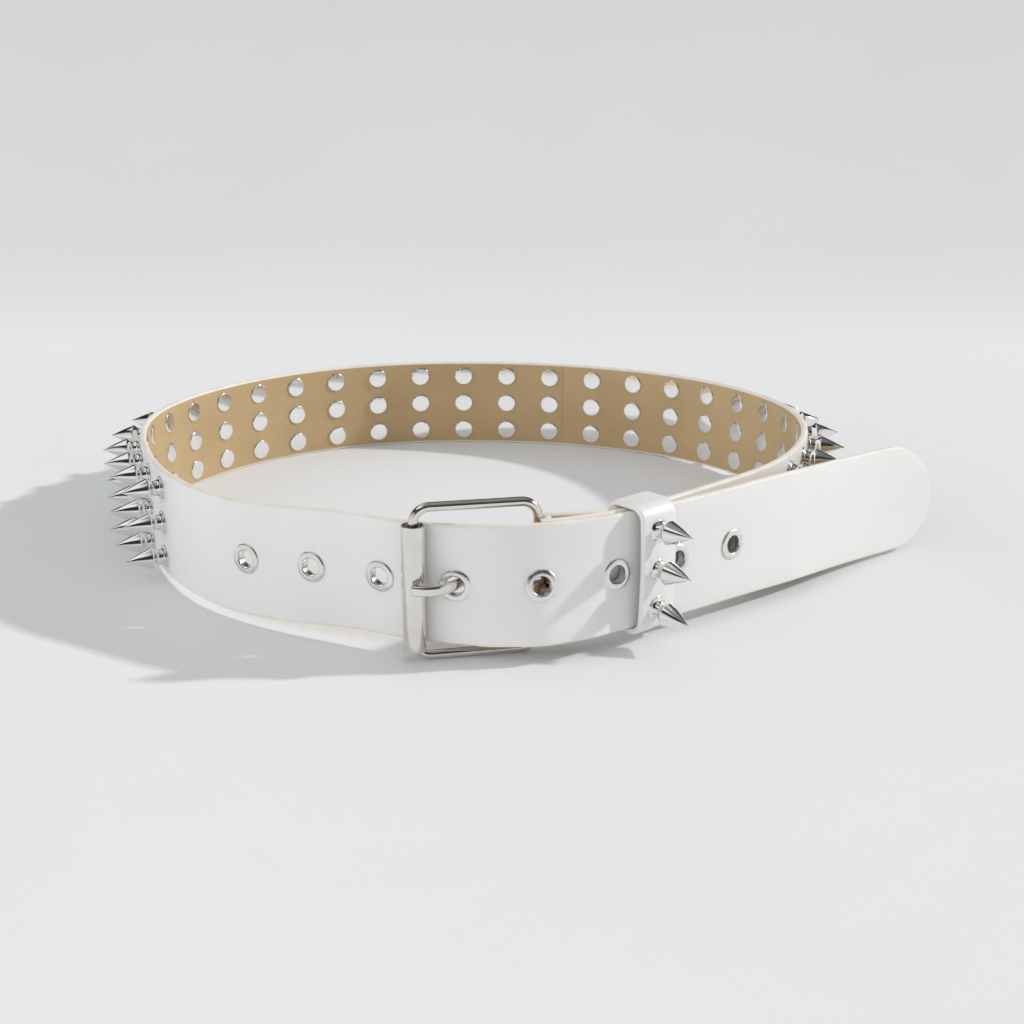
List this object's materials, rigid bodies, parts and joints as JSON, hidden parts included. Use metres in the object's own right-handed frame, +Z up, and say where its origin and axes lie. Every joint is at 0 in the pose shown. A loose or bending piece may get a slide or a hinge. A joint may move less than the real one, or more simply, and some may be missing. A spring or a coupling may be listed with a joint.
{
  "type": "studded belt",
  "caption": "Waist belt of white leather with rows of cone studs, a roller buckle, a studded keeper and metal eyelets, fastened and standing on its edge.",
  "frame": {"origin": "centre of the belt's bounding box in plan, at the floor that it stands on", "axes": "+Z up, -Y the side with the buckle, +X the side that the free end points to"},
  "size_m": [0.3086, 0.2836, 0.05],
  "materials": {
    "white_leather": "smooth semi-gloss white face, tan back",
    "nickel": "polished warm nickel plating",
    "chrome_studs": "polished chrome"
  },
  "bodies": {
    "belt": {"strap": "white_leather", "buckle_frame": "nickel", "prong": "nickel", "keeper": "white_leather", "keeper_stud_1": "chrome_studs", "keeper_stud_2": "chrome_studs", "keeper_stud_3": "chrome_studs", "eyelet_1": "nickel", "eyelet_2": "nickel", "eyelet_3": "nickel", "eyelet_4": "nickel", "eyelet_5": "nickel", "eyelet_6": "nickel", "eyelet_7": "nickel", "eyelet_8": "nickel"},
    "roller": {"roller": "nickel"}
  },
  "joints": [
    {"name": "roller_spin", "type": "hinge", "parent": "belt", "child": "roller", "pos_m": [-0.02686, -0.13485, 0.0239], "axis": [0, 0, 1], "continuous": true}
  ]
}
